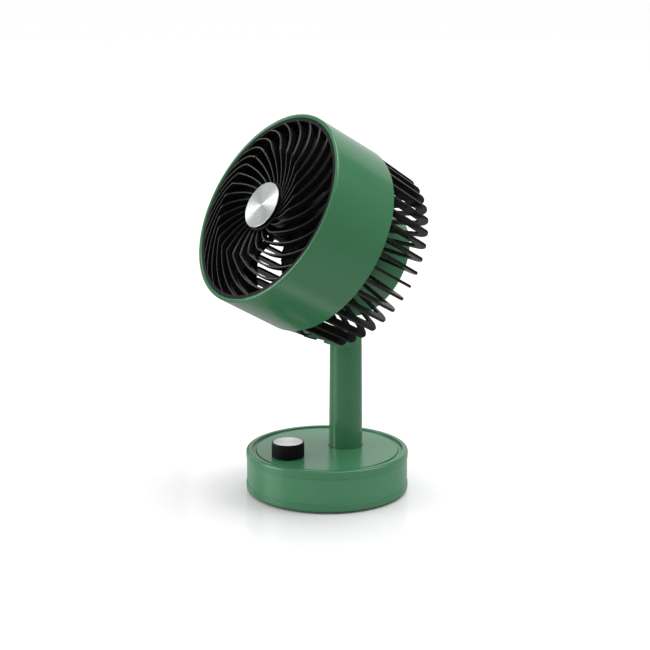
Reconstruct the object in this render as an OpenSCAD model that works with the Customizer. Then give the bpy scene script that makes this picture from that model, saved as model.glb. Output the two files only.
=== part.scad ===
// Desk fan: round weighted base with a speed knob, a column, and a tilting tubular head.
// Origin: centre of the base's underside. +Z is up and the fan blows towards -Y.

/* [Base] */
// Diameter of the base
base_d = 120; // [118:0.5:126]
// Height of the base's rim above the table
base_h = 31.8; // [31:0.1:34]
// Height of the seam between the bottom pan and the housing
pan_h = 7.1; // [6.5:0.1:7.5]
// Height of the seam between the housing and the rim
band_h = 25.9; // [25.5:0.1:26.2]
// Diameter of the inset top plate
disc_d = 105.2; // [104:0.2:105.6]
// Depth of the top plate below the rim
disc_drop = 0.8; // [0.5:0.1:1.2]

/* [Knob] */
// Diameter of the knob
knob_d = 24; // [22:0.5:25]
// Height of the knob's top above the table
knob_top = 42.3; // [41.5:0.1:44]
// Distance of the knob in front of the base's centre
knob_forward = 34.8; // [34:0.1:35.5]

/* [Column] */
// Distance of the column behind the base's centre
column_back = 16.9; // [16:0.1:18]
// Diameter of the column at the base
column_foot_d = 25; // [24.6:0.1:25.2]
// Diameter of the column at its top
column_top_d = 23.6; // [23.2:0.1:24]
// Height of the seam between the column and the neck
column_h = 108.5; // [107:0.1:109]

/* [Head] */
// Upward tilt of the head at rest
head_tilt = 29.2; // [28.8:0.1:29.6]
// Horizontal distance from the column to the centre of the front opening
head_reach = 69.6; // [69.2:0.1:70]
// Height of the centre of the front opening
head_z = 216.4; // [216:0.1:217]
// Outer diameter of the barrel
barrel_d = 144; // [144:0.1:144.4]
// Length of the barrel
barrel_len = 55; // [54.8:0.1:55.4]
// Diameter of the motor housing
cup_d = 84; // [83:0.2:85]
// Distance from the front opening to the back of the motor housing
cup_end = 105; // [104:0.2:106]

/* [Front grille] */
// Number of swirl slats
slat_count = 28; // [20:1:30]
// Thickness of a slat
slat_t = 1.4; // [1.2:0.1:1.8]
// Radius of the ridge where each slat bends
ridge_r = 40.3; // [38:0.1:42]
// Height of the ridge in front of the barrel's lip
ridge_h = 8.9; // [8:0.1:10]
// Sweep of a slat from the ridge out to the flange, in degrees
outer_sweep = 32; // [28:1:34]
// Sweep of a slat from the ridge in to the hub, in degrees
inner_sweep = 24.3; // [20:0.5:27]

/* [Rear grille] */
// Number of equal divisions that the fins are set out on
fin_count = 41; // [39:1:42]
// Thickness of a fin
fin_t = 2.1; // [1.8:0.1:2.3]
// Distance from the front opening to the tips of the fins
fin_end = 95.8; // [95:0.2:97]

/* [Impeller] */
// Diameter of the impeller
impeller_d = 122; // [118:1:123]
// Number of blades
blade_count = 5; // [4:1:7]
// Pitch of the blades, in degrees
blade_pitch = 33; // [28:1:36]

/* [Hidden] */
$fn = 96;

// colours
green = [0.36, 0.55, 0.42];
black = [0.10, 0.10, 0.11];
dark_grey = [0.20, 0.20, 0.21];
silver = [0.84, 0.86, 0.87];
steel = [0.66, 0.67, 0.69];
copper = [0.72, 0.42, 0.22];
board_green = [0.10, 0.32, 0.20];

// general fits
eps = 0.02;          // overlap that keeps a cut or a joint of one piece clean
gap = 0.1;           // assembly gap between two fixed pieces
run = 0.05;          // radial running clearance of a shaft or pin
wall = 2.4;          // moulded wall
screw_r = 1.5;       // M3 screws
screw_head_r = 2.8;
screw_head_h = 1.9;

// base
base_r = base_d / 2;
disc_r = disc_d / 2;
disc_z = base_h - disc_drop;
pad_r = base_r - 5;
pad_t = 1.4;
pan_z = 0.8;             // underside of the pan's outer edge
floor_z = 3.2;           // top of the pan's floor
band_r = base_r - 0.45;  // the housing is set back a little between pan and rim
rim_wall = 4.3;          // width of the rim's top
ledge_z = disc_z - 3.6;  // ledge inside the rim that carries the top plate
groove_z = base_h - 1.6; // floor of the groove between the rim and the top plate
flange_r = base_r - 6.85;   // inside of the housing's top flange
ledge_r = base_r - 13;
boss_at = 50;            // the four bosses that join the pan to the housing
boss_out = 4;
boss_z = 5.7;
boss_top = 21;
flat_head_h = 0.8;
ballast_r = 45;
ballast_top = 13.2;
ballast_front = 19;      // the ballast is cut off in front to leave room for the control board
board_z = 15;
inlet_z = 18.3;          // middle of the power inlet
inlet_w = 9;
inlet_h = 3.3;

// knob and its control
knob_r = knob_d / 2;
knob_gap = 0.4;
cap_t = 0.9;
shaft_r = 3;
flute_count = 36;
bush_r = 3.6;

// column and neck
col_r = column_foot_d / 2;
col_top_r = column_top_d / 2;
col_bore = 9.75;
spigot_r = col_bore - gap;
rod_r = 2.5;
foot_flange_r = 20;
foot_screw_at = 15.5;
foot_flange_z = ballast_top + gap / 2;
neck_half_w = col_top_r - 0.05;

// hinge, as reach in front of the column and height above the table
hinge_reach = 46.5;
hinge_z = 130.3;
knuckle_r = 6.5;
pin_r = 2.5;
washer_t = 0.65;
ear_in = neck_half_w + washer_t + 0.1;
ear_t = 4;

// head
barrel_r = barrel_d / 2;
barrel_in = barrel_r - wall;
lip_r = barrel_r - 2.9;
grille_r = lip_r - gap;
flange_in = 66.4;
slat_depth = 5;
slat_end_r = 68;
hub_r = 18.4;
cap_r = 17.1;
cap_front = 3.7;
cup_r = cup_d / 2;
cup_wall = 2.2;
ring_r = barrel_in - 0.2;     // rear grille's outer ring
ring_in = ring_r - 2.6;
ring_front = 43;
ring_back = 53;
sleeve_front = 12.8;          // front of the sleeve that lines the barrel
ring_screw_at = 66;
spider_front = 56;            // rear grille's inner ring
spider_back = 62;
spider_out = cup_r + 2.2;
spider_in = 32.5;
fin_r = barrel_r - 0.8;       // outer edge of a fin where it leaves the barrel
fin_tip_r = 69.4;             // outer edge of a fin at its nose
nose_r = 5;
fin_first = 19.8;             // first fin, in degrees from the bottom towards +X
fin_clear = 17;               // no fin stands within this angle of the bottom
block_in = 58;                // hinge bracket's inner face
housing_screw_at = 36.2;
stator_r = 22;
rotor_in = 22.8;
rotor_out = 25;
tube_out = 6.4;
bearing_r = 4.5;
bearing_t = 4;
motor_shaft_r = 2;
plate_back = 65.2;            // back of the motor plate
tube_end = 93;                // back end of the bearing tube
motor_mid = 80;               // middle of the stator
impeller_r = impeller_d / 2;
blade_first = -98 + 180 / blade_count;

// Where the hinge lies in the head's own frame: behind the lip and below the axis
hinge_dx = hinge_reach - head_reach;
hinge_dz = hinge_z - head_z;
hinge_behind = -hinge_dx * cos(head_tilt) - hinge_dz * sin(head_tilt);
hinge_below = hinge_dx * sin(head_tilt) - hinge_dz * cos(head_tilt);

// Places children in the head's frame: z forward along the axis, y up, origin at the lip
module on_head() {
    translate([0, column_back - head_reach, head_z]) rotate([90 - head_tilt, 0, 0]) children();
}

// Places children around an axis at equal angles
module around(count, first = 0) {
    for (i = [0 : count - 1]) rotate([0, 0, first + i * 360 / count]) children();
}

// A tube from z0 to z1
module tube(r_out, r_in, z0, z1) {
    difference() {
        translate([0, 0, z0]) cylinder(r = r_out, h = z1 - z0);
        translate([0, 0, z0 - 1]) cylinder(r = r_in, h = z1 - z0 + 2);
    }
}

// A solid cylinder from z0 to z1
module rod(r, z0, z1) {
    translate([0, 0, z0]) cylinder(r = r, h = z1 - z0);
}

// Places children on the column's axis, on the knob's axis and at each set of screws
module on_column() {
    translate([0, column_back, 0]) children();
}

module on_knob() {
    translate([0, -knob_forward, 0]) children();
}

module at_bosses() {
    around(4, 45) translate([boss_at, 0, 0]) children();
}

module at_ballast() {
    for (a = [-15, 90, 195]) rotate([0, 0, a]) translate([40, 0, 0]) children();
}

module at_disc() {
    around(3, 90) translate([disc_r - 3.6, 0, 0]) children();
}

module at_board() {
    on_knob() for (x = [-18, 18]) translate([x, 0, 0]) children();
}

module at_inlet_board() {
    for (x = [-6.6, 6.6]) translate([x, 49, 0]) children();
}

// The hinge's axis, with z along +X
module at_hinge() {
    translate([0, column_back - hinge_reach, hinge_z]) rotate([0, 90, 0]) children();
}

// In the head's frame: the screws that hold the rear grille and those of the motor housing
module at_ring() {
    for (k = [4.5, 18.5, 31.5]) rotate([0, 0, fin_first - 90 + k * 360 / fin_count])
        translate([ring_screw_at, 0, 0]) children();
}

module at_housing() {
    around(3, 90) translate([housing_screw_at, 0, 0]) children();
}

module at_bracket() {
    for (x = [-11, 11]) translate([x, -block_in, -48.5]) rotate([-90, 0, 0]) children();
}

// A screw with its head up, the head's underside at z0
module screw(r, head_r, head_h, len, z0) {
    difference() {
        union() {
            rod(r, z0 - len, z0 + eps);
            rod(head_r, z0, z0 + head_h);
        }
        rod(head_r * 0.45, z0 + head_h * 0.4, z0 + head_h + 1, $fn = 6);
    }
}

// A plate of width 2 * half_w across X: the outline's x runs towards -Y and its y runs up
module side_plate(half_w) {
    translate([half_w, 0, 0]) rotate([90, 0, -90]) linear_extrude(2 * half_w) children();
}

/* ---------- base ---------- */

module foot_pad() {
    color(dark_grey) rod(pad_r, 0, pad_t);
}

module pan_profile() {
    lip_out = band_r - wall - gap / 2;
    polygon([
        [0, pad_t], [pad_r + 0.3, pad_t], [pad_r + 0.3, pan_z], [base_r - 1.8, pan_z],
        [base_r - 0.5, pan_z + 0.4], [base_r, pan_z + 1.7], [base_r, pan_h], [lip_out, pan_h],
        [lip_out, pan_h + 1.6], [lip_out - 1.1, pan_h + 1.6], [lip_out - 1.7, floor_z], [0, floor_z]
    ]);
}

module base_pan() {
    color(green) difference() {
        union() {
            rotate_extrude() pan_profile();
            at_bosses() rod(boss_out + 0.4, pad_t, boss_z - gap);
            at_board() rod(3, floor_z - 1, board_z - gap);
        }
        at_bosses() {
            rod(screw_head_r + 0.3, 0, pad_t + screw_head_h + 0.2);
            rod(screw_r + 0.2, 0, 8);
        }
        at_ballast() {
            rod(screw_head_r + 0.3, 0, pad_t + flat_head_h + 0.1);
            rod(screw_r + 0.2, 0, 8);
        }
        at_board() rod(1, 6, board_z + 1);
    }
}

module ballast() {
    color(steel) difference() {
        rod(ballast_r, floor_z + gap / 2, ballast_top);
        translate([-base_r, -base_d - ballast_front, 0]) cube([base_d, base_d, 30]);
        at_ballast() rod(screw_r, 0, 10);
        on_column() {
            rod(5.5, 0, 9.5);
            rod(rod_r + 0.3, 0, 30);
            around(3, 90) translate([foot_screw_at, 0, 0]) rod(screw_r, 5.5, 30);
        }
    }
}

module base_housing() {
    color(green) difference() {
        union() {
            tube(band_r, band_r - wall, pan_h + gap / 2, band_h);
            tube(band_r - wall + eps, flange_r, band_h - 2, band_h);
            at_bosses() {
                rod(boss_out, boss_z, boss_top);
                translate([0, -1, pan_h + 2]) cube([band_r - wall - boss_at + 0.1, 2, boss_top - pan_h - 3]);
            }
            for (x = [-8.6, 5]) translate([x, 46.5, 10.5]) cube([3.6, 10.8, board_z - gap / 2 - 10.5]);
        }
        at_bosses() rod(screw_r - 0.05, 5, boss_top - 1);
        at_inlet_board() rod(1, board_z - 3.5, 20);
        translate([0, base_r - 8, inlet_z]) rotate([-90, 0, 0]) slot_bar(inlet_w + 0.3, inlet_h + 0.3, 10);
    }
}

// A bar with round ends, centred on the z axis
module slot_bar(w, h, len) {
    for (x = [-1, 1]) translate([x * (w - h) / 2, 0, 0]) cylinder(d = h, h = len);
    translate([-(w - h) / 2, -h / 2, 0]) cube([w - h, h, len]);
}

module rim_profile() {
    fillet = (base_h - band_h) / 2 - 0.1;
    bottom = band_h + gap / 2;
    seat_r = disc_r + 0.15;
    inner = base_r - rim_wall;
    polygon([
        [ledge_r, bottom], [flange_r - 2, bottom], [flange_r - 2, bottom - 3], [flange_r - 0.1, bottom - 3],
        [flange_r - 0.1, bottom], [base_r, bottom], [base_r, base_h - fillet], [base_r - fillet, base_h],
        [inner + 0.5, base_h], [inner, base_h - 0.5], [inner, groove_z], [seat_r, groove_z],
        [seat_r, ledge_z], [ledge_r, ledge_z]
    ]);
    translate([base_r - fillet, base_h - fillet]) circle(r = fillet);
}

module base_rim() {
    color(green) difference() {
        rotate_extrude() rim_profile();
        at_disc() rod(1.2, 0, 40);
    }
}

module base_disc() {
    color(green) difference() {
        union() {
            rod(disc_r, ledge_z + gap / 2, disc_z - 0.4);
            rod(disc_r - 0.4, ledge_z + 1, disc_z);
        }
        on_column() rod(col_r + 0.15, 0, 40);
        on_knob() rod(bush_r + 0.1, 0, 40);
        at_disc() rod(1, 0, disc_z - 0.9);
    }
}

module base_screws() {
    color(steel) at_bosses() rotate([180, 0, 0])
        screw(screw_r - 0.07, screw_head_r, screw_head_h, 14, -pad_t - screw_head_h - 0.15);
}

module ballast_screws() {
    color(steel) at_ballast() rotate([180, 0, 0])
        screw(screw_r - 0.02, screw_head_r, flat_head_h, 7, -pad_t - flat_head_h - 0.05);
}

module disc_screws() {
    color(steel) at_disc() rotate([180, 0, 0]) screw(0.98, 1.9, 1.1, 4, -band_h);
}

module control_board() {
    color(board_green) difference() {
        on_knob() translate([-22, -11, board_z]) cube([44, 22, 1.6]);
        at_board() rod(1.2, 0, 30);
    }
}

module board_screws() {
    color(steel) {
        at_board() screw(0.98, 1.9, 1.1, 4.8, board_z + 1.65);
        at_inlet_board() screw(0.98, 1.9, 1.1, 4.8, board_z + 1.65);
    }
}

module speed_control() {
    color(dark_grey) on_knob() difference() {
        union() {
            rod(8.5, board_z + 1.65, ledge_z);
            rod(bush_r, ledge_z - 1, disc_z + 2.6);
        }
        rod(shaft_r + run, board_z + 3, 60);
    }
}

module control_nut() {
    color(steel) on_knob() difference() {
        rod(5.6, disc_z + gap / 2, disc_z + 1.9, $fn = 6);
        rod(bush_r + 0.02, 0, 60);
    }
}

module power_inlet() {
    color(steel) translate([0, base_r - 7.9, inlet_z]) rotate([-90, 0, 0]) {
        difference() {
            slot_bar(inlet_w, inlet_h, 7.4);
            translate([0, 0, 1]) slot_bar(inlet_w - 0.8, inlet_h - 0.8, 8);
        }
        translate([-3.2, -0.35, 0.9]) cube([6.4, 0.7, 5.4]);
    }
}

module inlet_board() {
    color(board_green) difference() {
        translate([-8, 46.7, board_z]) cube([16, 9.3, 1.6]);
        at_inlet_board() rod(1.2, 0, 30);
    }
}

/* ---------- column ---------- */

module column_foot() {
    color(silver) on_column() difference() {
        union() {
            rod(foot_flange_r, foot_flange_z, foot_flange_z + 3);
            rod(spigot_r, foot_flange_z + 2.9, 62);
        }
        rod(rod_r + 0.3, 0, 80);
        around(3, 90) translate([foot_screw_at, 0, 0]) rod(screw_r + 0.1, 0, 40);
    }
}

module foot_screws() {
    color(steel) on_column() around(3, 90) translate([foot_screw_at, 0, 0])
        screw(screw_r - 0.02, screw_head_r, screw_head_h, 10, foot_flange_z + 3.05);
}

module tie_rod() {
    color(steel) on_column() rod(rod_r, 4.6, 103);
}

module tie_nut() {
    color(steel) on_column() difference() {
        rod(4.8, 5.3, 9.45, $fn = 6);
        rod(rod_r + 0.02, 0, 20);
    }
}

module column() {
    color(green) on_column() difference() {
        rotate_extrude() polygon([
            [0, foot_flange_z + 3.1], [col_r, foot_flange_z + 3.1], [col_r, disc_z],
            [col_top_r, column_h], [0, column_h]
        ]);
        rod(col_bore, 0, 200);
    }
}

// Side outline of the neck: from the column's top forward and up to the hinge knuckle
module neck_outline() {
    under = 19.1;
    translate([hinge_reach, hinge_z]) circle(r = knuckle_r);
    polygon([
        [-col_r, column_h + gap / 2], [neck_half_w, column_h + gap / 2], [neck_half_w, 111.4],
        [hinge_reach + knuckle_r * sin(under), hinge_z - knuckle_r * cos(under)],
        [hinge_reach - knuckle_r * sin(under), hinge_z + knuckle_r * cos(under)],
        [10, 123.2], [-3, 118], [-9.6, 114.2], [-col_r, 110.6]
    ]);
}

module neck() {
    color(green) difference() {
        union() {
            intersection() {
                translate([0, column_back, 0]) side_plate(neck_half_w) neck_outline();
                on_column() {
                    rod(neck_half_w, 100, 150);
                    translate([-neck_half_w, -80, 100]) cube([2 * neck_half_w, 80, 50]);
                }
            }
            on_column() rod(spigot_r, 86, column_h + 1);
        }
        on_column() rod(rod_r + 0.02, 60, 104);
        at_hinge() rod(pin_r + run, -30, 30);
        at_plug() rod(4.1, -2, 3);
    }
}

// The plug sits in the neck's underside, square to its slope
module at_plug() {
    translate([0, column_back - 31.5, 118.25]) rotate([-19.1, 0, 0]) children();
}

module neck_plug() {
    color(black) at_plug() {
        rod(4, -0.2, 2.9);
        rod(4.9, -1.4, -0.05);
    }
}

module friction_washers() {
    color(dark_grey) at_hinge() for (side = [0, 180]) rotate([0, side, 0])
        tube(knuckle_r - 0.4, pin_r + run, neck_half_w + 0.05, neck_half_w + 0.05 + washer_t);
}

/* ---------- knob ---------- */

module control_shaft() {
    color(steel) on_knob() rod(shaft_r, board_z + 3.2, knob_top - cap_t - 2);
}

module knob() {
    under = disc_z + knob_gap;
    color(black) on_knob() difference() {
        rotate_extrude() polygon([
            [0, under], [knob_r - 0.5, under], [knob_r, under + 0.5],
            [knob_r - 0.2, knob_top - 0.9], [knob_r - 0.9, knob_top - 0.1], [0, knob_top - 0.1]
        ]);
        around(flute_count) translate([knob_r + 0.35, 0, 0]) rod(0.6, 0, 60);
        rod(knob_r - 1.2, knob_top - cap_t - 0.05, 60);
        tube(9.2, 5.2, 0, knob_top - 3.4);
        rod(6.2, 0, disc_z + 3.2);
        rod(shaft_r + 0.02, 0, knob_top - cap_t - 1.9);
    }
}

module knob_cap() {
    color(silver) on_knob() {
        rod(knob_r - 1.25, knob_top - cap_t, knob_top - 0.25);
        rod(knob_r - 1.5, knob_top - cap_t, knob_top);
    }
}

/* ---------- head ---------- */

module barrel_profile() {
    lip = (barrel_r - lip_r) / 2;
    translate([lip_r + lip, -lip]) circle(r = lip);
    polygon([
        [lip_r, -lip], [barrel_r, -lip], [barrel_r, -barrel_len + 0.5], [barrel_r - 0.5, -barrel_len],
        [barrel_in, -barrel_len], [barrel_in, -12.5], [lip_r - 1.2, -11.5], [lip_r - 1.2, -9.6], [lip_r, -9.6]
    ]);
}

module barrel() {
    boss_end = gap / 2 - ring_front;
    color(green) on_head() difference() {
        union() {
            rotate_extrude() barrel_profile();
            at_ring() {
                rod(3, boss_end, -28);
                translate([0, -1, boss_end]) cube([barrel_in - ring_screw_at + 0.3, 2, ring_front - 28.5]);
            }
        }
        at_ring() rod(1.1, -ring_front - 1, -32);
    }
}

// One side of the slats' centre line: a shallow bow from the ridge to radius r at angle a
function bow(r, a, sag, t) =
    let (p = [ridge_r, 0], q = [r * cos(a), r * sin(a)], d = q - p, n = [d[1], -d[0]] / norm(d))
    p + d * t + n * sag * 4 * t * (1 - t);

// A strip of even thickness along a list of points
function side_of(pts, i, s) =
    let (a = pts[max(i - 1, 0)], b = pts[min(i + 1, len(pts) - 1)], d = (b - a) / norm(b - a))
    pts[i] + s * [-d[1], d[0]];

module strip(pts, t) {
    n = len(pts) - 1;
    polygon(concat(
        [for (i = [0 : n]) side_of(pts, i, t / 2)],
        [for (i = [n : -1 : 0]) side_of(pts, i, -t / 2)]
    ));
}

slat_steps = 4;
outer_sag = 5.4;
inner_sag = 1.85;
slat_line = concat(
    [for (i = [slat_steps : -1 : 1]) bow(slat_end_r, outer_sweep + 3, outer_sag, i / slat_steps)],
    [for (i = [0 : slat_steps]) bow(hub_r - 1.2, -inner_sweep, -inner_sag, i / slat_steps)]
);

// Front and back of the slats: a cone up to the ridge and a cone down to the hub
module slat_band() {
    rotate_extrude() polygon([
        [hub_r - 2, 0.3], [ridge_r, ridge_h], [flange_in, -0.35], [slat_end_r, -0.9],
        [slat_end_r, -0.9 - slat_depth], [flange_in, -0.35 - slat_depth],
        [ridge_r, ridge_h - slat_depth], [hub_r - 2, 0.3 - slat_depth]
    ]);
}

module front_grille() {
    color(black) on_head() {
        tube(grille_r, flange_in, -9.5, -0.6);
        difference() {
            rod(hub_r, -6, 1.2);
            rod(5, -4.9, 3);
        }
        intersection() {
            around(slat_count, 89.5) translate([0, 0, -10]) linear_extrude(25) strip(slat_line, slat_t);
            slat_band();
        }
    }
}

module centre_cap() {
    color(silver) on_head() {
        rod(4.9, -4.8, 1.4);
        rod(cap_r, 1.25, cap_front - 0.3);
        rod(cap_r - 0.3, 1.25, cap_front);
    }
}

// Outline of a fin, bent back on itself like a hairpin: x is the radius, y is along the head's axis
module fin_outline() {
    nose = [fin_tip_r - nose_r, -fin_end + nose_r];
    slope = 51.4;
    turn = 90 + slope;
    steps = 8;
    inner = cup_r + gap;
    corner = nose - nose_r * [sin(slope), cos(slope)];
    polygon(concat(
        [[inner, -spider_front - 0.4], [spider_out + 1.2, -spider_front - 0.4], [spider_out + 1.2, -68.5],
         [53.6, -78.8], [56.4, -83], [60, -86.7], [61.5, -87.9], [62.7, -88.2], [63.4, -87.5],
         [65, -54], [66, -50.6], [ring_r - 1, -50.6], [ring_r - 1, -barrel_len - 0.3],
         [fin_r, -barrel_len - 0.3]],
        [for (i = [0 : steps]) nose + nose_r * [cos(turn * i / steps), -sin(turn * i / steps)]],
        [[inner, corner[1] + (corner[0] - inner) * tan(slope)]]
    ));
}

module rear_grille() {
    color(black) on_head() difference() {
        union() {
            tube(ring_r, ring_in, -ring_back, -sleeve_front);
            intersection() {
                at_ring() rod(3.4, -ring_front - 2.9, -ring_front - 0.2);
                rod(ring_r - eps, -60, 0);
            }
            tube(spider_out, spider_in, -spider_back, -spider_front);
            for (i = [0 : fin_count - 1]) {
                a = fin_first + i * 360 / fin_count;
                if (a > fin_clear && a < 360 - fin_clear)
                    rotate([0, 0, a - 90]) translate([0, fin_t / 2, 0]) rotate([90, 0, 0])
                        linear_extrude(fin_t) fin_outline();
            }
        }
        at_ring() {
            rod(1.3, -60, 0);
            rod(2.4, -60, -ring_front - 2.8);
            translate([-4, -3.7, -ring_front - 0.1]) cube([10, 7.4, ring_front]);
        }
        at_bracket() rod(1.1, -20, 0);
        at_housing() rod(screw_r + 0.1, -spider_back - 1, 0);
    }
}

module ring_screws() {
    color(steel) on_head() at_ring() rotate([180, 0, 0]) screw(1.08, 2.1, 1.4, 9, ring_front + 2.85);
}

module cup_profile() {
    depth = cup_end - spider_back - gap / 2;
    fillet = 4;
    difference() {
        union() {
            square([cup_r - fillet, depth]);
            square([cup_r, depth - fillet]);
            translate([cup_r - fillet, depth - fillet]) circle(r = fillet);
        }
        translate([0, -1]) square([cup_r - cup_wall, depth - cup_wall + 1]);
    }
}

module motor_housing() {
    color(green) on_head() difference() {
        union() {
            translate([0, 0, -spider_back - gap / 2]) rotate([180, 0, 0]) rotate_extrude() cup_profile();
            at_housing() rod(3.4, 1 - cup_end, -plate_back - gap / 2);
        }
        at_housing() rod(screw_r - 0.05, -plate_back - 14, -50);
    }
}

module motor_plate() {
    color(dark_grey) on_head() difference() {
        union() {
            rod(cup_r - cup_wall - gap, -plate_back, -spider_back - gap / 2);
            rod(tube_out, -tube_end, -plate_back + 0.1);
        }
        rod(motor_shaft_r + 0.6, -100, -40);
        rod(bearing_r + 0.02, -plate_back - 1, -40);
        rod(bearing_r + 0.02, -100, -tube_end + bearing_t);
        at_housing() rod(screw_r + 0.1, -100, 0);
    }
}

module housing_screws() {
    color(steel) on_head() at_housing()
        screw(screw_r - 0.07, screw_head_r, screw_head_h, 18, -spider_front + gap / 2);
}

module stator() {
    poles = 12;
    color(copper) on_head() translate([0, 0, -motor_mid]) {
        tube(11, tube_out + 0.03, -8, 8);
        around(poles) translate([10, -1.6, -7]) cube([10, 3.2, 14]);
        around(poles) translate([12.4, -2.6, -8.5]) cube([5, 5.2, 17]);
        around(poles) intersection() {
            tube(stator_r, stator_r - 2.6, -7.5, 7.5);
            translate([0, -4.4, -20]) cube([40, 8.8, 40]);
        }
    }
}

module shaft_bearings() {
    color(steel) on_head() {
        tube(bearing_r, motor_shaft_r + run / 2, -plate_back - 0.95, -plate_back + 2);
        tube(bearing_r, motor_shaft_r + run / 2, -tube_end, -tube_end + bearing_t - 0.05);
    }
}

// Side outlines of the hinge bracket: x is the distance below the head's axis, y runs forward
module block_outline() {
    polygon([
        [block_in, -44], [ring_r, -44], [ring_r, -ring_back - 0.2], [block_in, -ring_back - 0.2]
    ]);
}

module ear_outline() {
    foot = ring_in - 2.4;
    translate([hinge_below, -hinge_behind]) circle(r = knuckle_r);
    polygon([
        [block_in + 0.3, -46], [foot, -46], [foot, -ring_back - 0.2],
        [hinge_below + 0.82 * knuckle_r, 0.57 * knuckle_r - hinge_behind],
        [hinge_below, -hinge_behind - knuckle_r], [hinge_below - knuckle_r, -hinge_behind]
    ]);
}

module hinge_bracket() {
    half = ear_in + ear_t;
    color(dark_grey) on_head() difference() {
        union() {
            intersection() {
                side_plate(half) block_outline();
                rod(ring_in - gap, -60, 0);
            }
            difference() {
                side_plate(half) ear_outline();
                translate([-ear_in, -100, -200]) cube([2 * ear_in, 100, 200 - ring_back - 0.2]);
            }
        }
        translate([0, -hinge_below, -hinge_behind]) rotate([0, 90, 0]) rod(pin_r + 0.02, -40, 40);
        at_bracket() rod(1.25, -20, 1);
    }
}

module bracket_screws() {
    color(steel) on_head() at_bracket() screw(1.08, 2.1, 1.4, 9.6, gap / 2);
}

module hinge_pin() {
    color(steel) at_hinge() {
        rod(pin_r, -ear_in - ear_t - 3, ear_in + ear_t + 0.1);
        rod(4.4, ear_in + ear_t + 0.05, ear_in + ear_t + 2.2);
    }
}

module hinge_nut() {
    color(steel) at_hinge() difference() {
        rod(4.6, -ear_in - ear_t - 2.6, -ear_in - ear_t - 0.05, $fn = 6);
        rod(pin_r + 0.02, -40, 0);
    }
}

/* ---------- impeller ---------- */

module motor_shaft() {
    color(steel) on_head() rod(motor_shaft_r, -motor_mid - 17, -11.5);
}

module rotor() {
    color(steel) on_head() translate([0, 0, -motor_mid]) {
        tube(rotor_out, rotor_in, -15, 10);
        tube(rotor_out, motor_shaft_r + 0.02, -17, -15);
        tube(5, motor_shaft_r + 0.02, -16, -13.6);
    }
}

// One blade: a cambered section run out along the radius and trimmed to its plan
module blade() {
    camber = [for (i = [-3 : 3]) [7 * i, 3.2 - 0.36 * i * i]];
    intersection() {
        translate([0, 0, -28]) rotate([90, 0, 90]) linear_extrude(impeller_r + 4)
            rotate(blade_pitch) strip(camber, 1.8);
        translate([0, 0, -45]) linear_extrude(40) intersection() {
            circle(r = impeller_r);
            polygon([[12, -9], [38, -17], [56, -21], [66, -18], [66, 8], [58, 20], [36, 16], [12, 9]]);
        }
    }
}

module impeller() {
    hub = 17;
    color(dark_grey) on_head() difference() {
        union() {
            difference() {
                rod(hub, -42, -14);
                rod(hub - 2.2, -43, -17);
            }
            rod(5.5, -38, -16);
            difference() {
                around(blade_count, blade_first) blade();
                rod(hub - 1.4, -60, 0);
            }
        }
        rod(motor_shaft_r + 0.02, -60, 0);
    }
}

module impeller_nut() {
    color(steel) on_head() difference() {
        rod(3.6, -13.95, -12, $fn = 6);
        rod(motor_shaft_r + 0.02, -60, 0);
    }
}

foot_pad();
base_pan();
ballast();
base_housing();
base_rim();
base_disc();
base_screws();
ballast_screws();
disc_screws();
control_board();
board_screws();
speed_control();
control_nut();
power_inlet();
inlet_board();
column_foot();
foot_screws();
tie_rod();
tie_nut();
column();
neck();
neck_plug();
friction_washers();
control_shaft();
knob();
knob_cap();
barrel();
front_grille();
centre_cap();
rear_grille();
ring_screws();
motor_housing();
motor_plate();
housing_screws();
stator();
shaft_bearings();
hinge_bracket();
bracket_screws();
hinge_pin();
hinge_nut();
motor_shaft();
rotor();
impeller();
impeller_nut();
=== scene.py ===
import math

import bmesh
import bpy
from mathutils import Matrix, Vector


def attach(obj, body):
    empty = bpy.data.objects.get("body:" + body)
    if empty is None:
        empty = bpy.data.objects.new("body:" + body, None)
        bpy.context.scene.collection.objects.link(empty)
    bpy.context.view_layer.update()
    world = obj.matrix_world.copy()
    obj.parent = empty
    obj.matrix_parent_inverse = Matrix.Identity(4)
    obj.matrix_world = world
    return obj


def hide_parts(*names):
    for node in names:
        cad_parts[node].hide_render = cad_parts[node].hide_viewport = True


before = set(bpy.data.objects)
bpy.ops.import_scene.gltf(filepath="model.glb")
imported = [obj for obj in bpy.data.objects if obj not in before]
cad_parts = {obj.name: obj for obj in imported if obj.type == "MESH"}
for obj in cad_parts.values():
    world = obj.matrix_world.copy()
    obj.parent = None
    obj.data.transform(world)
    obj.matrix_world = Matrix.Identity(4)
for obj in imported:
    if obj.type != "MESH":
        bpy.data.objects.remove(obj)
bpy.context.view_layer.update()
MM = 0.001

# ---------------------------------------------------------------- sizes, in millimetres, from the CAD part
GAP = 0.1                       # assembly gap between two fixed pieces

BASE_R = 60.0
BASE_H = 31.8
PAD_R = BASE_R - 5
PAD_T = 1.4
PAN_Z = 0.8                     # underside of the pan's outer edge
PAN_H = 7.1
PAN_FLOOR_Z = 3.2               # top of the pan's floor
PAN_CHAMFER = 1.7
LAP_R = BASE_R - 2.9            # the pan's edge stands up inside the housing
LAP_H = 1.6
BAND_H = 25.9                   # top of the housing's side
RIM_IN = BASE_R - 4.3           # inside of the rim's top
RIM_FILLET = 2.9
RIM_LIP_R = BASE_R - 6.95       # the rim's lip stands down inside the housing's top
RIM_LIP_T = 1.9
DISC_R = 52.6
DISC_Z = BASE_H - 0.8
SEAT_R = DISC_R + 0.15
GROOVE_Z = BASE_H - 1.6         # floor of the groove between the rim and the top plate
LEDGE_Z = DISC_Z - 3.6          # ledge inside the rim that carries the top plate
LEDGE_R = BASE_R - 13

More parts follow.
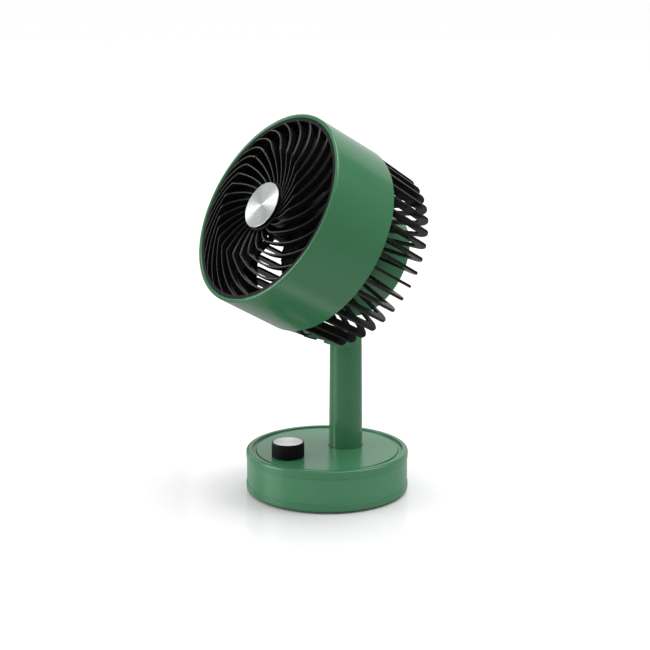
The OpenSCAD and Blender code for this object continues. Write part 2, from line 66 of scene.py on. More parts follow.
KNOB_Y = -34.8
KNOB_R = 12.0
KNOB_TOP = 42.3
KNOB_BOTTOM = DISC_Z + 0.4
KNOB_BORE = 9.2
KNOB_ROOF = KNOB_TOP - 3.5      # roof of the hollow under the knob
KNOB_SHOULDER = KNOB_TOP - 2.8
FACE_R = KNOB_R - 1.25          # the silver face
FACE_T = 0.9
FLUTES = 44                     # finer than those of the CAD part
FLUTE_DEPTH = 0.16
SHAFT_R = 3.0
BUSH_R = 3.6

COLUMN_Y = 16.9
COLUMN_R = 12.5
COLUMN_TOP_R = 11.8
COLUMN_BORE = 9.75
COLUMN_FOOT_Z = 16.35
COLUMN_H = 108.5

HEAD_REACH = 69.6               # from the column's axis forward to the middle of the lip
HEAD_Z = 216.4
TILT = math.radians(29.2)
BARREL_R = 72.0
BARREL_LEN = 55.0
BARREL_IN = BARREL_R - 2.4
LIP_R = BARREL_R - 2.9
LIP_BACK = -9.6                 # back of the lip's inside, where the front grille's flange ends
CAP_R = 17.1
CAP_FRONT = 3.7
CAP_BACK = 1.25
CAP_SPLIT = CAP_FRONT - 0.5     # between the silver face and the black body behind it
STEM_R = 4.9
STEM_BACK = -4.8
CUP_R = 42.0
CUP_WALL = 2.2
CUP_END = 105.0

GRILLE_R = LIP_R - GAP
FLANGE_IN = 66.4
FLANGE_FRONT = -0.6
HUB_R = 18.4
HUB_FRONT = 1.2
HUB_BACK = -6.0
SLATS = 28
SLAT_T = 1.4
SLAT_DEPTH = 5.0
SLAT_END_R = 68.0
SLAT_END_Z = -0.9
SLAT_START_R = HUB_R - 1.2
SLOPE_START_R = HUB_R - 2       # where the cone of the slats' front edges starts
SLOPE_START_Z = 0.3
SLAT_FIRST = 89.5               # angle of the first slat's ridge, in degrees
OUTER_SWEEP = 35                # angle from a slat's ridge to its outer and inner end, in degrees
INNER_SWEEP = -24.3
OUTER_SAG = 5.4                 # and how far it bows on the way
INNER_SAG = -1.85
RIDGE_R = 40.3
RIDGE_H = 8.9

RING_R = BARREL_IN - 0.2        # rear grille's sleeve, which lines the barrel
RING_IN = RING_R - 2.6
RING_BACK = 53.0
SLEEVE_FRONT = 12.8
SPIDER_OUT = CUP_R + 2.2        # rear grille's inner ring
SPIDER_IN = 32.5
SPIDER_FRONT = 56.0
SPIDER_BACK = 62.0
FIN_DIVISIONS = 41
FIN_FIRST = 19.8                # angle of the first fin from the bottom, in degrees
FIN_CLEAR = 17.0                # no fin stands within this angle of the bottom
FIN_T = 2.1
FIN_R = BARREL_R - 0.8          # outer edge of a fin where it leaves the barrel
FIN_TIP_R = 69.4
FIN_END = 95.8
FIN_ROOT_Z = -50.6              # where a fin starts inside the barrel
FIN_FOOT_Z = -70.9              # where its back edge meets the motor housing
FIN_SLOPE = 51.4                # slope of the back edge, in degrees
NOSE_R = 5.0
NOSE_STEPS = 14

# The head's own frame: z forward along its axis, y up, origin in the middle of the lip
HEAD = (Matrix.Translation((0, (COLUMN_Y - HEAD_REACH) * MM, HEAD_Z * MM))
        @ Matrix.Rotation(math.pi / 2 - TILT, 4, "X"))

# ---------------------------------------------------------------- studio values
WORLD = 1.12            # brightness of the surroundings
GLOSSY_WORLD = 0.2      # their brightness in reflections
FLOOR_SHINE = 0.12      # share of mirror reflection in the floor
FLOOR_NEAR = 0.60       # floor's colour under the lights, painted darker there to offset their light
FLOOR_FAR = 0.99        # and far away from them
FLOOR_SIZE = 25.0       # half its side, in metres
MIDDLE = (0, 0, 0.15)   # where the lights are aimed
EYE = (0.9331, -0.6533, 0.3830)     # where the camera stands, in metres
EYE_PITCH = 77.23       # and how far it is turned up from straight down, in degrees
EYE_YAW = 55.08         # and round the vertical
LENS = 88.6             # focal length, in millimetres, on a sensor 36 mm wide


# ---------------------------------------------------------------- materials
def nodes_of(name):
    """A new material's node tree, its shader and a function that adds and wires a node."""
    mat = bpy.data.materials.new(name)
    mat.use_nodes = True
    tree = mat.node_tree
    shader = tree.nodes["Principled BSDF"]

    def add(kind, inputs=None, **settings):
        node = tree.nodes.new(kind)
        for key, value in settings.items():
            setattr(node, key, value)
        for key, value in (inputs or {}).items():
            if isinstance(value, bpy.types.NodeSocket):
                tree.links.new(value, node.inputs[key])
            else:
                node.inputs[key].default_value = value
        return node

    return mat, tree, shader, add


def mixed(add, fac, a, b):
    """Mixes two colours by a factor."""
    node = add("ShaderNodeMix", data_type="RGBA")
    tree = node.id_data
    if isinstance(fac, bpy.types.NodeSocket):
        tree.links.new(fac, node.inputs[0])
    else:
        node.inputs[0].default_value = fac
    for slot, value in ((6, a), (7, b)):
        if isinstance(value, bpy.types.NodeSocket):
            tree.links.new(value, node.inputs[slot])
        else:
            node.inputs[slot].default_value = (*value, 1)
    return node.outputs[2]


def surface(name, color, rough, spread=0.06, grain=2600, bump=0.02, wear=0.0, worn=None,
            metal=0.0, gloss=0.5, mottle=0.06):
    """Moulded plastic or plain metal: fine grain in the bump, uneven roughness and colour, worn edges."""
    mat, tree, shader, add = nodes_of(name)
    coords = add("ShaderNodeTexCoord").outputs["Object"]
    broad = add("ShaderNodeTexNoise", {"Vector": coords, "Scale": 38.0, "Detail": 5.0, "Roughness": 0.6})
    fine = add("ShaderNodeTexNoise", {"Vector": coords, "Scale": float(grain), "Detail": 3.0})
    rough_map = add("ShaderNodeMapRange", {"Value": broad.outputs["Fac"], "From Min": 0.3, "From Max": 0.7,
                                           "To Min": rough - spread, "To Max": rough + spread})
    tree.links.new(rough_map.outputs["Result"], shader.inputs["Roughness"])
    shade = add("ShaderNodeMapRange", {"Value": broad.outputs["Fac"], "From Min": 0.3, "From Max": 0.7,
                                       "To Min": 1 - mottle, "To Max": 1 + mottle})
    tinted = add("ShaderNodeVectorMath", {0: color, "Scale": shade.outputs["Result"]}, operation="SCALE")
    result = tinted.outputs["Vector"]
    if wear:
        point = add("ShaderNodeNewGeometry").outputs["Pointiness"]
        edge = add("ShaderNodeMapRange", {"Value": point, "From Min": 0.52, "From Max": 0.62,
                                          "To Min": 0.0, "To Max": wear})
        pale = worn or tuple(min(1, c * 1.8 + 0.02) for c in color)
        result = mixed(add, edge.outputs["Result"], result, pale)
    tree.links.new(result, shader.inputs["Base Color"])
    relief = add("ShaderNodeBump", {"Height": fine.outputs["Fac"], "Strength": bump, "Distance": 0.0004})
    tree.links.new(relief.outputs["Normal"], shader.inputs["Normal"])
    shader.inputs["Metallic"].default_value = metal
    shader.inputs["Specular IOR Level"].default_value = gloss
    shader.inputs["IOR"].default_value = 1.46
    return mat


def brushed(name, color, rough, turned=False, metal=1.0, twist=0.0):
    """Brushed metal. Turned metal has its fine lines running round its own z axis, or spiralling a little
    where twist, a part of a turn, is given."""
    mat, tree, shader, add = nodes_of(name)
    coords = add("ShaderNodeTexCoord").outputs["Object"]
    if turned:
        flat = add("ShaderNodeVectorMath", {0: coords, 1: (1, 1, 0)}, operation="MULTIPLY")
        ring = add("ShaderNodeVectorMath", {0: flat.outputs["Vector"]}, operation="LENGTH")
        line = add("ShaderNodeCombineXYZ", {"X": ring.outputs["Value"]})
        noise = add("ShaderNodeTexNoise", {"Vector": line.outputs["Vector"], "Scale": 5200.0, "Detail": 4.0})
    else:
        long = add("ShaderNodeVectorMath", {0: coords, 1: (1, 0.04, 1)}, operation="MULTIPLY")
        noise = add("ShaderNodeTexNoise", {"Vector": long.outputs["Vector"], "Scale": 2400.0, "Detail": 4.0})
    rough_map = add("ShaderNodeMapRange", {"Value": noise.outputs["Fac"], "From Min": 0.3, "From Max": 0.7,
                                           "To Min": rough - 0.06, "To Max": rough + 0.08})
    tree.links.new(rough_map.outputs["Result"], shader.inputs["Roughness"])
    tone = mixed(add, noise.outputs["Fac"], tuple(c * 0.86 for c in color), color)
    tree.links.new(tone, shader.inputs["Base Color"])
    relief = add("ShaderNodeBump", {"Height": noise.outputs["Fac"], "Strength": 0.05, "Distance": 0.0002})
    tree.links.new(relief.outputs["Normal"], shader.inputs["Normal"])
    shader.inputs["Metallic"].default_value = metal
    if turned:
        shader.inputs["Anisotropic"].default_value = 0.85
        shader.inputs["Anisotropic Rotation"].default_value = twist
        way = add("ShaderNodeTangent", direction_type="RADIAL", axis="Z")
        tree.links.new(way.outputs["Tangent"], shader.inputs["Tangent"])
    return mat


GREEN = (0.028, 0.112, 0.050)
M = {
    "green": surface("green_plastic", GREEN, 0.19, 0.02, bump=0.02, wear=0.12, mottle=0.02),
    # painted lighter: a lit copy of the head's green plastic, given a paler colour for the base pieces
    "green_base": surface("paler_green_for_base_plastic", (0.037, 0.143, 0.068), 0.24, 0.03, bump=0.02, wear=0.12,
                          mottle=0.02),
    "black": surface("black_satin_plastic", (0.004, 0.0038, 0.0036), 0.27, 0.05, bump=0.05, wear=0.25,
                     worn=(0.02, 0.019, 0.018), gloss=0.3),
    "flange": surface("black_flange_plastic", (0.006, 0.0058, 0.006), 0.42, 0.07, bump=0.14, gloss=0.15),
    "inner": surface("inner_black_plastic", (0.004, 0.004, 0.004), 0.5, 0.08, bump=0.2, gloss=0.25),
    "knob": surface("knob_black_plastic", (0.003, 0.003, 0.003), 0.40, 0.06, bump=0.1, wear=0.3, gloss=0.15),
    "rubber": surface("foot_rubber", (0.02, 0.02, 0.02), 0.75, 0.1, grain=1500, bump=0.4),
    "steel": brushed("zinc_plated_steel", (0.60, 0.61, 0.63), 0.32),
    "raw": surface("raw_steel", (0.20, 0.19, 0.19), 0.48, 0.15, grain=900, bump=0.3, metal=1.0, mottle=0.25),
    "alloy": surface("cast_alloy", (0.52, 0.53, 0.55), 0.42, 0.1, grain=1400, bump=0.3, metal=1.0,
                     mottle=0.1),
    "copper": surface("enamelled_copper", (0.60, 0.26, 0.11), 0.33, 0.1, grain=1200, bump=0.5, metal=1.0),
    "board": surface("solder_mask", (0.02, 0.12, 0.05), 0.35, 0.1, grain=700, bump=0.2),
    "cap": brushed("turned_silver", (0.74, 0.785, 0.77), 0.27, turned=True, metal=0.82, twist=0.05),
    "silver_face": brushed("knob_silver", (0.76, 0.79, 0.77), 0.3, turned=True, metal=0.65),
}


# ---------------------------------------------------------------- mesh helpers
def finish_mesh(obj, mat, body, stands_for=(), angle=38):
    """Smooth shading with crisp edges, a material, and the CAD body that the piece rides on."""
    mesh = obj.data
    mesh.materials.clear()
    mesh.materials.append(mat)
    for poly in mesh.polygons:
        poly.use_smooth = True
    mesh.set_sharp_from_angle(angle=math.radians(angle))
    weighted = obj.modifiers.new("weighted", "WEIGHTED_NORMAL")
    weighted.keep_sharp = True
    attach(obj, body)
    if stands_for:
        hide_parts(*stands_for)
    return obj


def new_object(name, bm, place=None):
    """Turns a bmesh into an object in the scene."""
    bmesh.ops.recalc_face_normals(bm, faces=bm.faces)
    mesh = bpy.data.meshes.new(name)
    bm.to_mesh(mesh)
    bm.free()
    obj = bpy.data.objects.new(name, mesh)
    bpy.context.scene.collection.objects.link(obj)
    if place is not None:
        obj.matrix_world = place
    return obj


def rounded(corners, steps=5):
    """A polyline through (x, y, radius) corners with each corner turned into an arc."""
    out = []
    n = len(corners)
    for i, (x, y, r) in enumerate(corners):
        p = Vector((x, y))
        a = Vector(corners[i - 1][:2]) - p
        b = Vector(corners[(i + 1) % n][:2]) - p
        if r <= 0 or a.length < 1e-6 or b.length < 1e-6:
            out.append((x, y))
            continue
        half = a.angle(b) / 2
        if half > math.radians(89):
            out.append((x, y))
            continue
        back = min(r / math.tan(half), a.length * 0.49, b.length * 0.49)
        r = back * math.tan(half)
        centre = p + (a.normalized() + b.normalized()).normalized() * (r / math.sin(half))
        start, end = p + a.normalized() * back - centre, p + b.normalized() * back - centre
        turn = start.angle_signed(end)
        for k in range(steps + 1):
            t = -turn * k / steps
            out.append((centre.x + start.x * math.cos(t) - start.y * math.sin(t),
                        centre.y + start.x * math.sin(t) + start.y * math.cos(t)))
    return out


def ring_mesh(bm, profile, seg=192, wobble=None):
    """Turns a closed profile of (radius, height) in millimetres round the z axis. Radius 0 makes a pole."""
    rings = []
    for r, z in profile:
        if r < 1e-6:
            rings.append([bm.verts.new((0, 0, z * MM))])
            continue
        ring = []
        for k in range(seg):
            a = 2 * math.pi * k / seg
            q = r + (wobble(r, z, a) if wobble else 0)
            ring.append(bm.verts.new((q * math.cos(a) * MM, q * math.sin(a) * MM, z * MM)))
        rings.append(ring)
    n = len(rings)
    for i in range(n):
        a, b = rings[i], rings[(i + 1) % n]
        if len(a) == 1 and len(b) == 1:
            continue
        for k in range(seg):
            j = (k + 1) % seg
            if len(a) == 1:
                bm.faces.new((a[0], b[k], b[j]))
            elif len(b) == 1:
                bm.faces.new((a[k], b[0], a[j]))
            else:
                bm.faces.new((a[k], b[k], b[j], a[j]))


def lathe(name, corners, mat, body, place=None, stands_for=(), seg=192, wobble=None, steps=5):
    """A turned piece from its (radius, height, corner radius) outline in millimetres."""
    bm = bmesh.new()
    ring_mesh(bm, rounded(corners, steps), seg, wobble)
    return finish_mesh(new_object(name, bm, place), mat, body, stands_for)


def plate_mesh(outlines, thickness, bevel, steps=3):
    """A flat plate with rounded edges from closed outlines in millimetres.
    Outlines inside the first are holes."""
    curve = bpy.data.curves.new("outline", "CURVE")
    curve.dimensions = "2D"
    curve.fill_mode = "BOTH"
    for points in outlines:
        line = curve.splines.new("POLY")
        line.points.add(len(points) - 1)
        for point, (x, y) in zip(line.points, points):
            point.co = (x * MM, y * MM, 0, 1)
        line.use_cyclic_u = True
    curve.extrude = (thickness / 2 - bevel) * MM
    curve.bevel_depth = bevel * MM
    curve.bevel_resolution = steps
    curve.offset = -bevel * MM
    holder = bpy.data.objects.new("outline", curve)
    bpy.context.scene.collection.objects.link(holder)
    bpy.context.view_layer.update()
    mesh = bpy.data.meshes.new_from_object(holder.evaluated_get(bpy.context.evaluated_depsgraph_get()))
    bpy.data.objects.remove(holder)
    return mesh


def circle(r, x=0.0, y=0.0, n=96):
    """The n corners of a round outline."""
    return [(x + r * math.cos(2 * math.pi * k / n), y + r * math.sin(2 * math.pi * k / n)) for k in range(n)]


# ---------------------------------------------------------------- base
lathe("foot_pad_skin", [(0, 0, 0), (PAD_R, 0, 0.4), (PAD_R, PAD_T, 0.2), (0, PAD_T, 0)],
      M["rubber"], "base", stands_for=["foot_pad"])
lathe("base_pan_shell", [(0, PAD_T, 0), (PAD_R + 0.3, PAD_T, 0.2), (PAD_R + 0.3, PAN_Z, 0.2),
                         (BASE_R - PAN_CHAMFER, PAN_Z, 0.6), (BASE_R, PAN_Z + PAN_CHAMFER, 1.6),
                         (BASE_R, PAN_H, 0.35), (LAP_R, PAN_H, 0.1), (LAP_R, PAN_H + LAP_H, 0.3),
                         (LAP_R - 1.1, PAN_H + LAP_H, 0.3), (PAD_R + 0.4, PAN_FLOOR_Z, 0.8),
                         (0, PAN_FLOOR_Z, 0)],
      M["green_base"], "base", stands_for=["base_pan"])
rim_z = BAND_H + GAP / 2
lathe("base_rim_shell", [(LEDGE_R, rim_z, 0.2), (RIM_LIP_R - RIM_LIP_T, rim_z, 0.1),
                         (RIM_LIP_R - RIM_LIP_T, rim_z - 3, 0.3), (RIM_LIP_R, rim_z - 3, 0.3),
                         (RIM_LIP_R, rim_z, 0.1), (BASE_R, rim_z, 0.3), (BASE_R, BASE_H, RIM_FILLET),
                         (RIM_IN, BASE_H, 0.7), (RIM_IN, GROOVE_Z, 0.3), (SEAT_R, GROOVE_Z, 0.3),
                         (SEAT_R, LEDGE_Z, 0.15), (LEDGE_R, LEDGE_Z, 0.2)],
      M["green_base"], "base", stands_for=["base_rim"], steps=8)
disc_bottom = LEDGE_Z + GAP / 2
disc_holes = [circle(COLUMN_R + 0.15, 0, COLUMN_Y), circle(BUSH_R + GAP, 0, KNOB_Y, 48)]
disc = plate_mesh([circle(DISC_R, n=256)] + disc_holes, DISC_Z - disc_bottom, 0.4, 4)
disc_piece = bpy.data.objects.new("base_top_plate", disc)
bpy.context.scene.collection.objects.link(disc_piece)
disc_piece.matrix_world = Matrix.Translation((0, 0, (DISC_Z + disc_bottom) / 2 * MM))
finish_mesh(disc_piece, M["green_base"], "base", ["base_disc"])

# ---------------------------------------------------------------- knob
def flutes(r, z, a):
    """How far the knob's side is drawn in at an angle: one shallow groove for each flute."""
    on_side = r > KNOB_R - 0.75 and z < KNOB_TOP - 0.5
    return FLUTE_DEPTH * (abs(math.cos(a * FLUTES / 2)) - 1) if on_side else 0.0


KNOB = Matrix.Translation((0, KNOB_Y * MM, 0))
lathe("knob_body", [(0, KNOB_TOP - 1.0, 0), (KNOB_R - 1.2, KNOB_TOP - 1.0, 0.1),
                    (KNOB_R - 1.15, KNOB_TOP - 0.1, 0.12), (KNOB_R - 0.4, KNOB_TOP - 0.1, 0.5),
                    (KNOB_R - 0.05, KNOB_SHOULDER, 0.5), (KNOB_R, KNOB_BOTTOM, 0.5),
                    (KNOB_BORE, KNOB_BOTTOM, 0.2), (KNOB_BORE, KNOB_ROOF, 0.3),
                    (SHAFT_R + GAP, KNOB_ROOF, 0.2), (SHAFT_R + GAP, KNOB_ROOF + 0.6, 0.1),
                    (0, KNOB_ROOF + 0.6, 0)],
      M["knob"], "knob", KNOB, ["knob"], seg=352, wobble=flutes)
lathe("knob_face", [(0, KNOB_TOP - FACE_T, 0), (FACE_R, KNOB_TOP - FACE_T, 0.1), (FACE_R, KNOB_TOP, 0.22),
                    (0, KNOB_TOP, 0)], M["silver_face"], "knob", KNOB, ["knob_cap"])

# ---------------------------------------------------------------- column
COLUMN = Matrix.Translation((0, COLUMN_Y * MM, 0))
lathe("column_tube", [(COLUMN_BORE, COLUMN_FOOT_Z, 0.2), (COLUMN_R, COLUMN_FOOT_Z, 0.2),
                      (COLUMN_R, DISC_Z, 0), (COLUMN_TOP_R, COLUMN_H, 0.25), (COLUMN_BORE, COLUMN_H, 0.2)],
      M["green"], "base", COLUMN, ["column"])

# ---------------------------------------------------------------- barrel, cap and motor housing
lathe("barrel_shell", [(LIP_R, LIP_BACK, 0.1), (LIP_R, 0, 1.1), (BARREL_R, 0, 1.3),
                       (BARREL_R, -BARREL_LEN, 0.6), (BARREL_IN, -BARREL_LEN, 0.3),
                       (BARREL_IN, LIP_BACK - 2.9, 0.5),
                       (LIP_R - 1.2, LIP_BACK - 1.9, 0.3), (LIP_R - 1.2, LIP_BACK, 0.2)],
      M["green"], "head", HEAD, ["barrel"], seg=256, steps=8)
lathe("cap_face", [(0, CAP_SPLIT, 0), (CAP_R, CAP_SPLIT, 0.1), (CAP_R, CAP_FRONT, 0.25), (0, CAP_FRONT, 0)],
      M["cap"], "head", HEAD, ["centre_cap"])
lathe("cap_body", [(0, STEM_BACK, 0), (STEM_R, STEM_BACK, 0.3), (STEM_R, CAP_BACK, 0.1),
                   (CAP_R - 0.1, CAP_BACK, 0.2), (CAP_R - 0.1, CAP_SPLIT - 0.01, 0.1),
                   (0, CAP_SPLIT - 0.01, 0)],
      M["black"], "head", HEAD, ["centre_cap"])
cup_front = -SPIDER_BACK - GAP
cup_in = CUP_R - CUP_WALL
lathe("motor_cup", [(cup_in, cup_front, 0.2), (CUP_R, cup_front, 0.2), (CUP_R, -CUP_END, 4), (0, -CUP_END, 0),
                    (0, CUP_WALL - CUP_END, 0), (cup_in, CUP_WALL - CUP_END, 2)],
      M["green"], "head", HEAD, ["motor_housing"], steps=8)


# ---------------------------------------------------------------- front grille
def bow(r, degrees, sag, t):
    """A point on the bowed line from the ridge to radius r at an angle."""
    a = math.radians(degrees)
    p, q = Vector((RIDGE_R, 0)), Vector((r * math.cos(a), r * math.sin(a)))
    d = q - p
    n = Vector((d.y, -d.x)).normalized()
    return p + d * t + n * (sag * 4 * t * (1 - t))


def front_height(r):
    """Height of a slat's front edge: up from the hub to the ridge and down again to the flange."""
    if r < RIDGE_R:
        return SLOPE_START_Z + (r - SLOPE_START_R) * (RIDGE_H - SLOPE_START_Z) / (RIDGE_R - SLOPE_START_R)
    return RIDGE_H + (r - RIDGE_R) * (SLAT_END_Z - RIDGE_H) / (SLAT_END_R - RIDGE_R)


def slat_side(path, i):
    """The direction across a slat at a point of its centre line, longer where the line bends."""
    before, after = path[max(i - 1, 0)], path[min(i + 1, len(path) - 1)]
    along = (after - before).normalized()
    side = Vector((-along.y, along.x))
    if 0 < i < len(path) - 1:
        side = side / max(0.5, side.dot(Vector((-(path[i] - before).y, (path[i] - before).x)).normalized()))
    return side


def add_slat(bm, path, section, spin):
    """Sweeps a slat's section along its centre line, following the grille's front surface."""
    loops = []
    for i, p in enumerate(path):
        side = slat_side(path, i)
        loop = []
        for w, h in section:
            q = p + side * w
            z = front_height(q.length) + h
            loop.append(bm.verts.new(spin @ Vector((q.x * MM, q.y * MM, z * MM))))
        loops.append(loop)
    for a, b in zip(loops, loops[1:]):
        for k in range(len(a)):
            j = (k + 1) % len(a)
            bm.faces.new((a[k], a[j], b[j], b[k]))
    bm.faces.new(loops[0])
    bm.faces.new(loops[-1])


STEPS = 18
slat_path = [bow(SLAT_END_R, OUTER_SWEEP, OUTER_SAG, i / STEPS) for i in range(STEPS, 0, -1)]
slat_path += [bow(SLAT_START_R, INNER_SWEEP, INNER_SAG, i / STEPS) for i in range(STEPS + 1)]
slat_section = rounded([(-SLAT_T / 2, 0, 0.55), (SLAT_T / 2, 0, 0.55), (SLAT_T / 2, -SLAT_DEPTH, 0.4),
                        (-SLAT_T / 2, -SLAT_DEPTH, 0.4)], 4)
bm = bmesh.new()
for s in range(SLATS):
    add_slat(bm, slat_path, slat_section, Matrix.Rotation(math.radians(SLAT_FIRST + 360 * s / SLATS), 3, "Z"))
finish_mesh(new_object("grille_slats", bm, HEAD), M["black"], "head", ["front_grille"], 50)
lathe("grille_flange", [(FLANGE_IN, FLANGE_FRONT, 0.3), (GRILLE_R, FLANGE_FRONT, 0.3),
                        (GRILLE_R, LIP_BACK + GAP, 0.2), (FLANGE_IN, LIP_BACK + GAP, 0.2)],
      M["flange"], "head", HEAD, ["front_grille"], seg=256)
lathe("grille_hub", [(0, HUB_BACK, 0), (HUB_R, HUB_BACK, 0.4), (HUB_R, HUB_FRONT, 0.4), (0, HUB_FRONT, 0)],
      M["black"], "head", HEAD, ["front_grille"])

# ---------------------------------------------------------------- rear grille
def fin_outline():
    """A fin is a hairpin: an outer bar along the barrel's line, a round nose and a bar back to the motor
    housing. Its points are radius and distance along the head's axis."""
    inner = CUP_R + GAP
    root_r = RING_R - 1
    root_back = -BARREL_LEN - 0.3
    outline = rounded([(inner, -SPIDER_FRONT - 0.4, 0.2), (SPIDER_OUT + 1.2, -SPIDER_FRONT - 0.4, 0.4),
                       (SPIDER_OUT + 1.2, -68.5, 1), (53.6, -78.8, 3), (56.4, -83, 3), (61.3, -88.2, 0.8),
                       (63.5, -88.3, 0.8), (65.0, -54, 2), (66.0, FIN_ROOT_Z, 0.4),
                       (root_r, FIN_ROOT_Z, 0.2)], 4)
    outline += [(root_r, root_back), (FIN_R, root_back)]
    nose_r, nose_z = FIN_TIP_R - NOSE_R, NOSE_R - FIN_END
    for i in range(NOSE_STEPS + 1):
        a = math.radians((90 + FIN_SLOPE) * i / NOSE_STEPS)
        outline.append((nose_r + NOSE_R * math.cos(a), nose_z - NOSE_R * math.sin(a)))
    return outline + [(inner, FIN_FOOT_Z)]


fin = plate_mesh([fin_outline()], FIN_T, 0.45, 3)
bm = bmesh.new()
for k in range(FIN_DIVISIONS):
    degrees = FIN_FIRST + k * 360 / FIN_DIVISIONS
    if not FIN_CLEAR < degrees < 360 - FIN_CLEAR:
        continue
    turn = Matrix.Rotation(math.radians(degrees - 90), 4, "Z") @ Matrix.Rotation(math.pi / 2, 4, "X")
    first = len(bm.verts)
    bm.from_mesh(fin)
    bm.verts.ensure_lookup_table()
    bmesh.ops.transform(bm, matrix=turn, verts=bm.verts[first:])
bmesh.ops.remove_doubles(bm, verts=bm.verts, dist=1e-6)
finish_mesh(new_object("rear_fins", bm, HEAD), M["black"], "head", ["rear_grille"], 50)
lathe("rear_outer_ring", [(RING_IN, -SLEEVE_FRONT, 0.4), (RING_R, -SLEEVE_FRONT, 0.4),
                          (RING_R, -RING_BACK, 0.4), (RING_IN, -RING_BACK, 0.4)],
      M["black"], "head", HEAD, ["rear_grille"])
lathe("rear_inner_ring", [(SPIDER_IN, -SPIDER_FRONT, 0.4), (SPIDER_OUT, -SPIDER_FRONT, 0.4),
                          (SPIDER_OUT, -SPIDER_BACK, 0.4), (SPIDER_IN, -SPIDER_BACK, 0.4)],
      M["black"], "head", HEAD, ["rear_grille"])

# ---------------------------------------------------------------- the CAD nodes that stay as they are
LOOK = {
    "ballast": "raw", "base_housing": "green_base", "base_screws": "steel", "ballast_screws": "steel",
    "disc_screws": "steel", "control_board": "board", "board_screws": "steel", "speed_control": "inner",
    "control_nut": "steel", "power_inlet": "steel", "inlet_board": "board", "column_foot": "alloy",
    "foot_screws": "steel", "tie_rod": "steel", "tie_nut": "steel", "neck": "green", "neck_plug": "knob",
    "friction_washers": "inner", "control_shaft": "steel", "ring_screws": "steel", "motor_plate": "alloy",
    "housing_screws": "steel", "stator": "copper", "shaft_bearings": "steel", "hinge_bracket": "inner",
    "bracket_screws": "steel", "hinge_pin": "steel", "hinge_nut": "steel", "motor_shaft": "steel",
    "rotor": "steel", "impeller": "inner", "impeller_nut": "steel",
}
for name, look in LOOK.items():
    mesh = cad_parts[name].data
    mesh.materials.clear()
    mesh.materials.append(M[look])

# Softened edges on the larger of them
for name in ("base_housing", "neck", "impeller", "hinge_bracket", "motor_plate"):
    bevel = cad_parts[name].modifiers.new("bevel", "BEVEL")
    bevel.width = 0.25 * MM
    bevel.segments = 2
    bevel.limit_method = "ANGLE"
    bevel.angle_limit = math.radians(50)

# ---------------------------------------------------------------- studio
def area(name, place, size, power):
    """A rectangular light aimed at the middle of the fan, with its size in metres and its power in watts."""
    light = bpy.data.lights.new(name, "AREA")
    light.shape = "RECTANGLE"
    light.size, light.size_y = size
    light.energy = power
    obj = bpy.data.objects.new(name, light)
    bpy.context.scene.collection.objects.link(obj)
    obj.location = place
    obj.rotation_euler = (Vector(MIDDLE) - Vector(place)).to_track_quat("-Z", "Y").to_euler()
    return obj


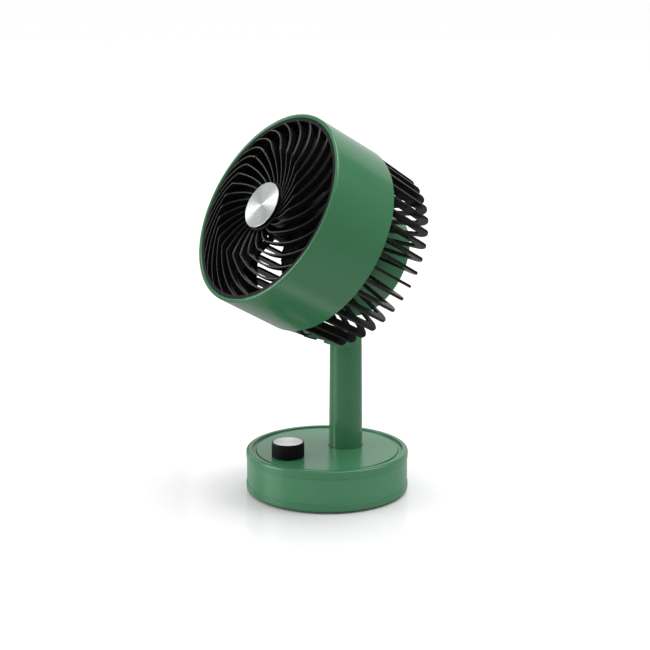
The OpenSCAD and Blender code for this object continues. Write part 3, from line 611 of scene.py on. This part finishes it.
def floor_material():
    """Pale and matt, with a faint mirror reflection. Its colour is painted darker near the fan, to offset the
    lamps' light there, and paler far from the fan, where the lights don't reach. In the fan's reflections it
    is painted darker still: a painted reflection that dims with its distance from the fan."""
    mat, tree, shader, add = nodes_of("studio_floor")
    noise = add("ShaderNodeTexNoise", {"Scale": 40.0, "Detail": 3.0})
    reach = add("ShaderNodeVectorMath", {0: add("ShaderNodeTexCoord").outputs["Object"]}, operation="LENGTH")
    tone = mixed(add, noise.outputs["Fac"], (0.99, 0.99, 0.99), (1, 1, 1))
    # painted shade: the floor's colour is darker near the fan, where the lamps light it most
    near = add("ShaderNodeMapRange", {"Value": reach.outputs["Value"], "From Min": 0.2, "From Max": 3.0,
                                      "To Min": FLOOR_NEAR, "To Max": FLOOR_FAR},
               interpolation_type="SMOOTHSTEP")
    reflection_dimming = add("ShaderNodeMapRange", {"Value": reach.outputs["Value"], "From Min": 0.12, "From Max": 0.6,
                                      "To Min": 0.5, "To Max": 0.12})
    is_glossy = add("ShaderNodeLightPath").outputs["Is Glossy Ray"]
    # painted reflection: in glossy rays the floor's colour is dimmed, so it shows darker in the fan's
    # reflections
    dimmed_in_reflections = mixed(add, is_glossy, (1, 1, 1), reflection_dimming.outputs["Result"])
    tone = add("ShaderNodeVectorMath", {0: tone, "Scale": near.outputs["Result"]}, operation="SCALE")
    tone = add("ShaderNodeVectorMath", {0: tone.outputs["Vector"], 1: dimmed_in_reflections}, operation="MULTIPLY")
    tree.links.new(tone.outputs["Vector"], shader.inputs["Base Color"])
    shader.inputs["Roughness"].default_value = 0.9
    shader.inputs["Specular IOR Level"].default_value = 0.0
    sheen = add("ShaderNodeBsdfGlossy", {"Color": (1, 1, 1, 1), "Roughness": 0.08})
    blend = add("ShaderNodeMixShader", {"Fac": FLOOR_SHINE, 1: shader.outputs["BSDF"],
                                        2: sheen.outputs["BSDF"]})
    tree.links.new(blend.outputs["Shader"], tree.nodes["Material Output"].inputs["Surface"])
    return mat


def light_surroundings():
    """White surroundings that light the fan, but reflect only faintly in it."""
    world = bpy.data.worlds.new("studio")
    bpy.context.scene.world = world
    world.use_nodes = True
    tree = world.node_tree
    background = tree.nodes["Background"]
    background.inputs["Color"].default_value = (1, 1, 1, 1)
    paths = tree.nodes.new("ShaderNodeLightPath")
    strength = tree.nodes.new("ShaderNodeMapRange")
    strength.inputs["To Min"].default_value = WORLD
    strength.inputs["To Max"].default_value = GLOSSY_WORLD
    tree.links.new(paths.outputs["Is Glossy Ray"], strength.inputs["Value"])
    tree.links.new(strength.outputs["Result"], background.inputs["Strength"])


def add_camera():
    """The camera where the photograph was taken from."""
    camera = bpy.data.cameras.new("camera")
    camera.lens = LENS
    camera.sensor_width = 36
    eye = bpy.data.objects.new("camera", camera)
    eye.location = EYE
    eye.rotation_euler = (math.radians(EYE_PITCH), 0, math.radians(EYE_YAW))
    bpy.context.scene.collection.objects.link(eye)
    return eye


bm = bmesh.new()
bmesh.ops.create_grid(bm, x_segments=4, y_segments=4, size=FLOOR_SIZE)
floor = new_object("studio_floor", bm)
floor.data.materials.append(floor_material())
light_surroundings()
area("key_light", (-0.72, -1.35, 0.52), (0.9, 0.7), 14)
area("left_light", (-1.48, -0.17, 0.67), (0.7, 0.7), 2.2)
area("side_light", (1.0, 1.1, 1.5), (1.0, 1.0), 12)
area("top_light", (0.0, 0.2, 1.8), (1.2, 1.2), 26)
back = area("back_panel", (-1.0, 1.4, 0.62), (1.8, 1.1), 4.0)
back.visible_camera = False

bpy.context.scene.camera = add_camera()
bpy.context.scene.view_settings.view_transform = "Standard"
